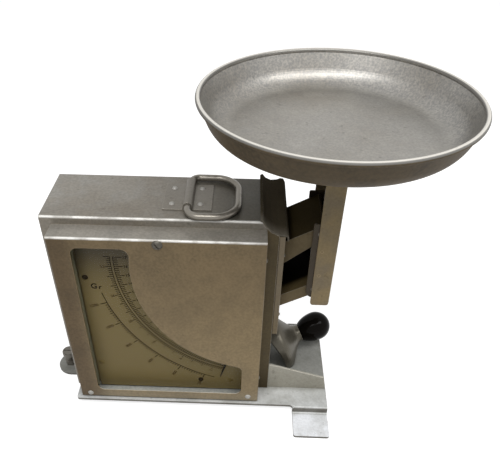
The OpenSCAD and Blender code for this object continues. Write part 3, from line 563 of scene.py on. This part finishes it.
def spun_pan_finish(f):
    """Spun aluminium: fine rings round the pan's centre, a rim bead with a painted highlight along its top
    and painted shade below it, and a dull outside whose darker brown is painted shade.
    """
    material, tree, shader = blank_material("spun_pan")
    low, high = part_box("pan")
    centre = (low + high) / 2
    from_centre = vector_node(tree, "SUBTRACT", object_place(tree), (centre.x, centre.y, 0.0))
    from_axis = vector_node(tree, "MULTIPLY", from_centre, (1.0, 1.0, 0.0))
    along_radius = tree.nodes.new("ShaderNodeCombineXYZ")
    feed(tree, along_radius.inputs["X"], vector_node(tree, "LENGTH", from_axis))
    rings = noise(tree, along_radius.outputs[0], scale=1400.0, detail=2.0)
    outward = vector_node(tree, "DOT_PRODUCT", surface_normal(tree), from_axis)
    outer_side = map_range(tree, outward, 0.010, 0.045)
    upward = facing_up(tree)
    wall = map_range(tree, upward, 0.995, 0.80)

    marks = place_group(tree, "handling_marks", Scale=0.8)
    grit = place_group(tree, "handling_marks", Scale=1.25)
    tone = lay_over(tree, f.pan_inside, marks["Clouds"], 0.6, scaled(f.pan_inside, (0.70, 0.65, 0.57)))
    tone = lay_over(tree, tone, marks["Patches"], 0.25, scaled(f.pan_inside, 1.35))
    tone = lay_over(tree, tone, marks["Speckle"], 0.2, scaled(f.pan_inside, (0.50, 0.51, 0.54)))
    pitted = math_node(tree, "MULTIPLY_ADD", wall, 0.28, 0.30)
    tone = lay_over(tree, tone, grit["Speckle"], pitted, scaled(f.pan_inside, (0.42, 0.44, 0.50)))
    tone = lay_over(tree, tone, marks["Flecks"], 0.3, f.pan_fleck)
    # painted shade: the outside takes a darker brown tone than the inside, under its patches and speckle
    worn_and_shaded = lay_over(tree, f.pan_outside, marks["Patches"], 0.8, scaled(f.pan_outside, 0.6))
    worn_and_shaded = lay_over(tree, worn_and_shaded, marks["Speckle"], 0.45, scaled(f.pan_outside, 1.5))
    tone = mix_colour(tree, outer_side, tone, worn_and_shaded)
    # painted highlight along the top of the rim bead, with painted shade on its lower part
    rim = slope_mask(tree, fade("pan", UP, 2.2, 1.4))
    painted_highlight = mix_colour(tree, map_range(tree, upward, 0.70, 0.98), scaled(f.pan_inside, 0.45),
                        scaled(f.pan_inside, 1.9))
    tone = mix_colour(tree, rim, tone, painted_highlight)

    rough = math_node(tree, "MULTIPLY_ADD", rings, 0.16, 0.30)
    rough = math_node(tree, "MULTIPLY_ADD", rim, -0.04, rough)
    rough = math_node(tree, "MULTIPLY_ADD", outer_side, 0.25, rough)
    metallic = math_node(tree, "MULTIPLY_ADD", outer_side, -0.65, 0.7)
    add_relief(tree, shader, rings, 0.15)
    set_inputs(tree, shader, {"Base Color": tone, "Roughness": rough, "Metallic": metallic,
                              "Specular IOR Level": 0.3})
    return material


def dial_finish(f):
    """Dial paint with painted shadow, darkening it towards its upper edge."""
    material, tree, shader = blank_material("dial_paint")
    low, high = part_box("dial_plate")
    darkens_from = low.z + 0.62 * (high.z - low.z)
    # painted shadow towards the dial's upper edge
    upper = map_range(tree, split_axes(tree, object_place(tree))["Z"], darkens_from, high.z)
    tone = mix_colour(tree, upper, f.dial_bottom, f.dial_top)
    clouds = place_group(tree, "handling_marks", Scale=1.2)["Clouds"]
    tone = lay_over(tree, tone, clouds, 0.18, scaled(f.dial_bottom, 0.75))
    set_inputs(tree, shader, {"Base Color": tone, "Roughness": 0.55})
    return material


def dial_rivet_finish(f):
    """Dark dial rivets; the lower left one and those at the right are painted over with the dial."""
    return plain_finish("dark_rivets", f.dial_rivets, 0.8, gloss=0.1,
                        slopes=[fade("dial_rivets", LOWER_LEFT, 60.0, 50.0, f.dial_bottom),
                                fade("dial_rivets", RIGHT, 25.0, 15.0, f.dial_bottom)])


def window_finish(f):
    """Thin clear pane: mostly see-through, with a little gloss at low angles."""
    material, tree, shader = blank_material("window_pane")
    set_inputs(tree, shader, {"Base Color": f.window, "Roughness": 0.03, "Specular IOR Level": 0.12,
                              "Alpha": 0.06})
    material.surface_render_method = "BLENDED"
    return material


def dress(material, *nodes):
    """Gives CAD nodes their finish."""
    for node in nodes:
        mesh = frame["nodes"][node].data
        mesh.materials.clear()
        mesh.materials.append(material)


# Properties

def colour_prop(name, text, default):
    """Property of a colour."""
    return bpy.props.FloatVectorProperty(
        name=name, description=text, default=default, subtype="COLOR", size=3, min=0.0, max=1.0)


def bearing_prop(name, text, bearing):
    """Property of a bearing on the dial, given in degrees from straight down towards the left."""
    return bpy.props.FloatProperty(name=name, description=text, default=radians(bearing), subtype="ANGLE")


def radius_prop(name, text, radius):
    """Property of a distance from the beam's pivot, given in mm."""
    return bpy.props.FloatProperty(name=name, description=text, default=radius * MM, subtype="DISTANCE")


def steps_prop(name, text, steps, most):
    """Property of a number of figured steps."""
    return bpy.props.IntProperty(name=name, description=text, default=steps, min=2, max=most)


class ScaleFinishProps(bpy.types.PropertyGroup):
    """Colours of the finishes"""
    cover: colour_prop("Cover", "Front cover's warm grey", (0.225, 0.168, 0.090))
    # painted shade and light on the front cover: darker towards its upper edge and left end, lighter along
    # its lower edge
    cover_high: colour_prop("Cover, upper part", "Front cover towards its upper edge", (0.165, 0.120, 0.064))
    cover_low: colour_prop("Cover, lower edge", "Front cover along its lower edge", (0.235, 0.190, 0.120))
    cover_left: colour_prop("Cover, left", "Front cover left of the window", (0.108, 0.074, 0.038))
    cover_stain: colour_prop("Cover's stains", "Clouds on the front cover", (0.170, 0.128, 0.070))
    cover_patch: colour_prop("Cover's patches", "Small patches on the front cover", (0.150, 0.116, 0.064))
    # painted light: the cover's shaded inside floor made pale
    tray: colour_prop("Cover's inside floor", "Lower inside face of the cover", (0.60, 0.61, 0.57))
    # painted highlight on bends that face up and forward
    bare_metal: colour_prop("Bare metal", "Bends of the case and cover, rubbed bare", (0.62, 0.61, 0.58))
    case: colour_prop("Case", "Case sheet", (0.26, 0.24, 0.205))
    case_top: colour_prop("Case top", "Upward faces of the case", (0.25, 0.232, 0.200))
    # painted shadow of the pan on the case's top
    case_right: colour_prop("Case top, right", "Case's top towards the hood", (0.085, 0.078, 0.060))
    # painted shade on the case's right wall
    case_wall: colour_prop("Case wall", "Right wall of the case", (0.070, 0.051, 0.021))
    case_patch: colour_prop("Case's patches", "Small patches on the case", (0.31, 0.305, 0.285))
    back_patch: colour_prop("Back's patches", "Small patches on the rear cover", (0.30, 0.30, 0.295))
    stain: colour_prop("Stain", "Stains and dull patches on the sheet", (0.165, 0.140, 0.105))
    rail: colour_prop("Rails", "Rails at the case's open side", (0.135, 0.104, 0.060))
    # painted shade: the hood's dark tone stands for the pan's shadow over it
    hood: colour_prop("Hood", "Hood over the arms", (0.090, 0.074, 0.048))
    # painted light on the hood's curled front edge
    hood_front: colour_prop("Hood front", "Hood's curled front edge", (0.230, 0.208, 0.165))
    bright: colour_prop("Bright sheet", "Base plate's front edge", (0.62, 0.63, 0.62))
    # painted shade on the base plate's upright faces
    base_side: colour_prop("Base sides", "Upright faces of the base plate", (0.22, 0.21, 0.19))
    base_patch: colour_prop("Base's patches", "Small patches on the base plate", (0.40, 0.40, 0.37))
    # painted shadow of the pan on the base plate behind the frame plate
    deck: colour_prop("Deck", "Base plate behind the frame plate", (0.31, 0.31, 0.285))
    # painted light on the foot pads
    pad: colour_prop("Foot pads", "Stepped-down feet of the base plate", (0.93, 0.95, 0.98))
    flange: colour_prop("Flange", "Frame plate over the base plate's front edge", (0.43, 0.415, 0.355))
    rivet_heads: colour_prop("Rivet heads", "Rivets of the cover and the strap", (0.40, 0.39, 0.36))
    screw_head: colour_prop("Screw head", "Slotted screw of the cover", (0.10, 0.092, 0.075))
    arm: colour_prop("Arms", "Channel arms", (0.175, 0.138, 0.082))
    # painted shade on the arms' upward faces
    arm_top: colour_prop("Arm tops", "Upward faces of the arms", (0.050, 0.037, 0.017))
    # painted shade on the arms' inner faces and far flanges
    arm_inside: colour_prop("Inside of the arms", "Arms' inner faces and far flanges", (0.010, 0.008, 0.004))
    # painted shade: the near black deep between the arms
    shade: colour_prop("Deep shade", "Grime deep between the arms", (0.003, 0.002, 0.001))
    post: colour_prop("Post", "Post under the pan", (0.255, 0.195, 0.105))
    strip: colour_prop("Post strips", "Strips inside the post", (0.050, 0.040, 0.028))
    brass: colour_prop("Brass", "Bushes and trim nuts", (0.45, 0.30, 0.12))
    iron: colour_prop("Iron", "Pendulum's cast weight", (0.05, 0.05, 0.05))
    rubber: colour_prop("Rubber", "Rest stop", (0.03, 0.03, 0.03))
    pan_inside: colour_prop("Pan inside", "Spun inside of the pan", (0.362, 0.348, 0.318))
    # painted shade on the pan's outside
    pan_outside: colour_prop("Pan outside", "Outside of the pan", (0.078, 0.056, 0.029))
    pan_fleck: colour_prop("Pan's flecks", "Dark flecks in the pan", (0.05, 0.045, 0.04))
    # painted light on the case's shaded front wall inside the cover; its olive hue is real
    dial_ground: colour_prop("Dial's ground", "Case's front wall inside the cover", (0.30, 0.235, 0.10))
    # painted shadow at the dial's upper edge
    dial_top: colour_prop("Dial top", "Dial paint at its upper edge", (0.036, 0.025, 0.007))
    dial_bottom: colour_prop("Dial bottom", "Dial paint at its lower edge", (0.212, 0.156, 0.050))
    # partly painted light: paler than the strip's olive paint
    margin: colour_prop("Dial's margin", "Strip left of the dial plate", (0.42, 0.388, 0.239))
    dial_rivets: colour_prop("Dial rivets", "Rivets of the dial plate", (0.022, 0.014, 0.006))
    window: colour_prop("Window", "Tint of the clear pane", (0.05, 0.045, 0.03))
    needle: colour_prop("Needle", "Pointer's matt black", (0.012, 0.010, 0.006))
    ink: colour_prop("Ink", "Dial's lines and large figures", (0.014, 0.010, 0.004))
    faded_ink: colour_prop("Faded ink", "Dial's small figures", (0.055, 0.034, 0.012))
    lever: colour_prop("Lever", "Pressed metal of the locking lever", (0.135, 0.122, 0.094))
    knob: colour_prop("Knob", "Knob's glossy black", (0.006, 0.005, 0.004))


class ScaleDialProps(bpy.types.PropertyGroup):
    """Sizes and steps of the two printed scales"""
    main_start: bearing_prop("Main start", "Bearing of the double line's lower end", 16.0)
    main_end: bearing_prop("Main end", "Bearing of the double line's upper end", 92.2)
    main_radius: radius_prop("Main scale", "Radius of the double line", 141.0)
    main_steps: steps_prop("Main steps", "Figured steps of the main scale", 17, 30)
    second_start: bearing_prop("Second start", "Bearing of the second scale's first figure", 21.9)
    second_end: bearing_prop("Second end", "Bearing of the second scale's last figure", 71.9)
    second_radius: radius_prop("Second scale", "Radius of the thin line", 159.5)
    second_steps: steps_prop("Second steps", "Figured steps of the second scale", 5, 10)


class ScaleStageProps(bpy.types.PropertyGroup):
    """Camera and light"""
    camera_place: bpy.props.FloatVectorProperty(
        name="Camera", description="Camera's place", subtype="TRANSLATION", unit="LENGTH", size=3,
        default=(0.0099, -0.4531, 0.4996))
    yaw: bpy.props.FloatProperty(
        name="Yaw", description="Camera's turn about the upright", subtype="ANGLE", default=radians(1.73))
    pitch: bpy.props.FloatProperty(
        name="Pitch", description="Camera's downward tilt", subtype="ANGLE", default=radians(41.50))
    roll: bpy.props.FloatProperty(
        name="Roll", description="Camera's roll", subtype="ANGLE", default=radians(0.63))
    lens: bpy.props.FloatProperty(
        name="Lens", description="Focal length in mm on a 36 mm sensor", unit="CAMERA", default=41.13)
    shift: bpy.props.FloatVectorProperty(
        name="Shift", description="Camera's shift, sideways and up, as shares of the picture's width", size=2,
        default=(0.0462, 0.1512))
    key_power: bpy.props.FloatProperty(
        name="Key light", description="Power of the light overhead", unit="POWER", default=17.0)
    sky: bpy.props.FloatProperty(
        name="Sky", description="Strength of the world's even light", subtype="FACTOR", min=0.0, max=1.0,
        default=0.24)


# Operators

class SCALE_OT_shader_groups(bpy.types.Operator):
    """Builds the shared shader groups for grain, handling marks, tone slopes and softened edges"""
    bl_idname = "scale.shader_groups"
    bl_label = "Shader groups"

    def execute(self, context):
        build_grain_group()
        build_marks_group()
        build_slope_group()
        build_edge_group()
        return {"FINISHED"}


class SCALE_OT_case(bpy.types.Operator):
    """Finishes the case, its covers, hood, rails, base plate and fasteners"""
    bl_idname = "scale.case"
    bl_label = "Case and covers"

    def execute(self, context):
        f = context.scene.scale_finish
        dress(cover_finish(f), "front_cover")
        dress(case_finish(f), "case_shell")
        dress(worn_metal("back_sheet", f.case, f.stain, stain_share=0.6, patch=f.back_patch), "rear_cover")
        dress(worn_metal("strap_sheet", scaled(f.case_top, 0.85), f.stain, stain_share=0.3), "handle_strap")
        dress(worn_metal("rail_sheet", f.rail, f.stain, roughness=0.36), "side_rails")
        dress(worn_metal("flange_sheet", f.flange, f.stain, stain_share=0.3), "front_cheek", "rear_cheek")
        dress(base_finish(f), "base_plate")
        dress(hood_finish(f), "hood")
        dress(plain_finish("plated_screws", scaled(f.case, 0.65), 0.34, metallic=0.5, gloss=0.3),
              "rear_cover_screws", "rail_rivets", "cover_side_screws", "base_fasteners", "cheek_spacers",
              "levelling_screw", "levelling_nut", "shaft_collars", "lever_shaft", "link_axle", "beam_axle",
              "pendulum_rod")
        dress(plain_finish("rivet_heads", f.rivet_heads, 0.45, metallic=0.15, gloss=0.2),
              "strap_rivets", "cover_rivets")
        dress(plain_finish("screw_head", f.screw_head, 0.36, metallic=0.4, gloss=0.2), "cover_screw")
        return {"FINISHED"}


class SCALE_OT_mechanism(bpy.types.Operator):
    """Finishes the arms, the post and the parts that swing inside the case"""
    bl_idname = "scale.mechanism"
    bl_label = "Arms, post and pendulum"

    def execute(self, context):
        f = context.scene.scale_finish
        dress(arm_finish("arm_sheet", f, f.arm_top), "upper_beam")
        # painted shade on the lower arm's top, near black towards the back
        dress(arm_finish("lower_arm_sheet", f, scaled(f.arm_top, 2.0),
                         [fade("lower_link", BACK, 47.5, 38.5, f.shade)]), "lower_link")
        dress(post_finish(f), "post_channel", "post_rivets")
        dress(worn_metal("strip_sheet", f.strip, f.strip, roughness=0.4, gloss=0.15, edge_highlight=f.rail),
              "post_strips")
        dress(bpy.data.materials["plated_screws"], "post_pins", "post_head", "pan_support")
        dress(plain_finish("cast_iron", f.iron, 0.6, metallic=0.4), "counterweight")
        dress(plain_finish("turned_brass", f.brass, 0.35, metallic=0.9), "pivot_bushes", "trim_nuts")
        dress(plain_finish("stop_rubber", f.rubber, 0.8), "rest_stop")
        return {"FINISHED"}


class SCALE_OT_pan(bpy.types.Operator):
    """Gives the pan its spun finish"""
    bl_idname = "scale.pan"
    bl_label = "Pan"

    def execute(self, context):
        dress(spun_pan_finish(context.scene.scale_finish), "pan")
        return {"FINISHED"}


class SCALE_OT_dial(bpy.types.Operator):
    """Finishes the dial plate, pointer and window, and prints the scale lines and figures"""
    bl_idname = "scale.dial"
    bl_label = "Dial and window"

    def execute(self, context):
        f, d = context.scene.scale_finish, context.scene.scale_dial
        dress(dial_finish(f), "dial_plate")
        dress(dial_rivet_finish(f), "dial_rivets")
        dress(plain_finish("needle_black", f.needle, 0.6, gloss=0.1), "pointer")
        dress(window_finish(f), "window_glass")

        (left, front, bottom), (_, _, top) = (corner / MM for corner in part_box("dial_plate"))
        x0, x1 = (left - reach for reach in MARGIN)
        strip = [(x0, bottom), (x1, bottom), (x1, top), (x0, top)]
        margin = plate_mesh("dial_margin", [strip], front + MARGIN_SETBACK, MARGIN_DEPTH)
        # partly painted light: the margin strip is paler than its olive paint, lighting the shade inside the
        # cover
        margin_paint_and_light = plain_finish("margin_paint_and_light", f.margin, 0.4, metallic=0.3, mottle=0.1)
        add_piece("dial_margin", margin, "frame", margin_paint_and_light)

        y = front - PRINT_LIFT
        main_lines, figures, main_small = main_scale(d, y)
        second_lines, second_small = second_scale(d, y)
        figures += [figure_mesh(letter, size, place, y, bold=0.25) for letter, size, place in UNIT_MARK]
        lines = plate_mesh("dial_lines", main_lines + second_lines, y, PRINT_DEPTH)
        ink = plain_finish("dial_ink", f.ink, 0.7, gloss=0.1)
        faded_ink = plain_finish("faded_ink", f.faded_ink, 0.7, gloss=0.1)
        add_piece("dial_lines", lines, "frame", ink)
        add_piece("dial_figures", merge("dial_figures", figures), "frame", ink)
        small_figures = merge("dial_small_figures", main_small + second_small)
        add_piece("dial_small_figures", small_figures, "frame", faded_ink)
        return {"FINISHED"}


class SCALE_OT_handle(bpy.types.Operator):
    """Finishes the carrying ring"""
    bl_idname = "scale.handle"
    bl_label = "Carrying ring"

    def execute(self, context):
        f = context.scene.scale_finish
        dress(worn_metal("ring_steel", f.case_top, f.stain, stain_share=0.2, metallic=0.6, roughness=0.3,
                         edge_radius=0.0), "handle_ring")
        return {"FINISHED"}


class SCALE_OT_lever(bpy.types.Operator):
    """Finishes the locking lever and its knob"""
    bl_idname = "scale.lever"
    bl_label = "Locking lever"

    def execute(self, context):
        f = context.scene.scale_finish
        dress(worn_metal("lever_metal", f.lever, scaled(f.lever, 0.5), stain_share=0.7, metallic=0.4,
                         roughness=0.32), "lock_lever")
        dress(plain_finish("knob_black", f.knob, 0.06, gloss=0.04, mottle=0.1), "lock_knob")
        return {"FINISHED"}


def area_light(name, power, size, place, aim):
    """Rectangular lamp at a place, turned towards a point."""
    data = bpy.data.lights.new(name, "AREA")
    data.energy = power
    data.shape = "RECTANGLE"
    data.size, data.size_y = size
    lamp = bpy.data.objects.new(name, data)
    bpy.context.scene.collection.objects.link(lamp)
    lamp.location = place
    lamp.rotation_euler = (Vector(aim) - Vector(place)).to_track_quat("-Z", "Y").to_euler()


def background_ray_mask(tree):
    """1 for camera, glossy and transmission rays, which see the plain background."""
    path = tree.nodes.new("ShaderNodeLightPath")
    seen = math_node(tree, "ADD", path.outputs["Is Camera Ray"], path.outputs["Is Glossy Ray"])
    total = math_node(tree, "ADD", seen, path.outputs["Is Transmission Ray"])
    return math_node(tree, "MINIMUM", total, 1.0)


def lay_floor(scene, reach, grey, glow):
    """Wide pale floor: grey for the light that it throws back, and bright where it is seen."""
    mesh = bpy.data.meshes.new("floor")
    mesh.from_pydata([(-reach, -reach, 0), (reach, -reach, 0), (reach, reach, 0), (-reach, reach, 0)], [],
                     [(0, 1, 2, 3)])
    material, tree, shader = blank_material("pale_floor")
    brightness = math_node(tree, "MULTIPLY", background_ray_mask(tree), glow)
    set_inputs(tree, shader, {"Base Color": (grey,) * 3, "Roughness": 0.9, "Emission Color": (1.0,) * 3,
                              "Emission Strength": brightness})
    mesh.materials.append(material)
    floor = bpy.data.objects.new("floor", mesh)
    scene.collection.objects.link(floor)


def light_world(scene, sky):
    """Soft light from all sides, and a plain white background where it is seen."""
    scene.world = bpy.data.worlds.new("studio")
    scene.world.use_nodes = True
    tree = scene.world.node_tree
    strength = math_node(tree, "MULTIPLY_ADD", background_ray_mask(tree), 1.0 - sky, sky)
    set_inputs(tree, tree.nodes["Background"], {"Color": (1.0,) * 3, "Strength": strength})


def place_camera(scene, p):
    """Camera at its place, turned by yaw, pitch and roll."""
    camera = bpy.data.objects.new("camera", bpy.data.cameras.new("camera"))
    scene.collection.objects.link(camera)
    across = Vector((cos(p.yaw), sin(p.yaw), 0))
    ahead = Vector((-sin(p.yaw) * cos(p.pitch), cos(p.yaw) * cos(p.pitch), -sin(p.pitch)))
    upward = across.cross(ahead)
    right = cos(p.roll) * across + sin(p.roll) * upward
    up = -sin(p.roll) * across + cos(p.roll) * upward
    turn = Matrix((right, up, -ahead)).transposed().to_4x4()
    camera.matrix_world = Matrix.Translation(p.camera_place) @ turn
    camera.data.lens = p.lens
    camera.data.sensor_width = 36.0
    camera.data.sensor_fit = "HORIZONTAL"
    camera.data.shift_x, camera.data.shift_y = p.shift
    camera.data.clip_start = 0.01
    scene.camera = camera


class SCALE_OT_stage(bpy.types.Operator):
    """Lays the pale floor, sets the studio light and places the camera"""
    bl_idname = "scale.stage"
    bl_label = "Floor, light and camera"

    def execute(self, context):
        scene, p = context.scene, context.scene.scale_stage
        lay_floor(scene, reach=12.0, grey=0.55, glow=0.8)
        light_world(scene, p.sky)
        area_light("key_light", p.key_power, size=(1.8, 0.4), place=(0.16, -0.5, 1.2), aim=(0.0, 0.0, 0.1))
        place_camera(scene, p)
        scene.view_settings.view_transform = "Standard"
        return {"FINISHED"}


class SCALE_PT_panel(bpy.types.Panel):
    """Lists the steps that dress the scale"""
    bl_label = "Pan Scale"
    bl_idname = "SCALE_PT_panel"
    bl_space_type = "VIEW_3D"
    bl_region_type = "UI"
    bl_category = "Pan Scale"

    def draw(self, context):
        column = self.layout.column()
        for step in STEPS:
            column.operator(step.bl_idname)
        for group in (getattr(context.scene, label) for label in PROPS):
            box = column.box()
            for label in group.bl_rna.properties.keys():
                if label not in ("rna_type", "name"):
                    box.prop(group, label)


STEPS = (SCALE_OT_shader_groups, SCALE_OT_case, SCALE_OT_mechanism, SCALE_OT_pan, SCALE_OT_dial,
         SCALE_OT_handle, SCALE_OT_lever, SCALE_OT_stage)
PROPS = {"scale_finish": ScaleFinishProps, "scale_dial": ScaleDialProps, "scale_stage": ScaleStageProps}


def register():
    for cls in (*PROPS.values(), *STEPS, SCALE_PT_panel):
        bpy.utils.register_class(cls)
    for label, cls in PROPS.items():
        setattr(bpy.types.Scene, label, bpy.props.PointerProperty(type=cls))


def unregister():
    for label in PROPS:
        delattr(bpy.types.Scene, label)
    for cls in reversed((*PROPS.values(), *STEPS, SCALE_PT_panel)):
        bpy.utils.unregister_class(cls)


def main():
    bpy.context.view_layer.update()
    register()
    bpy.ops.scale.shader_groups()
    bpy.ops.scale.case()
    bpy.ops.scale.mechanism()
    bpy.ops.scale.pan()
    bpy.ops.scale.dial()
    bpy.ops.scale.handle()
    bpy.ops.scale.lever()
    bpy.ops.scale.stage()


if __name__ == "__main__":
    main()
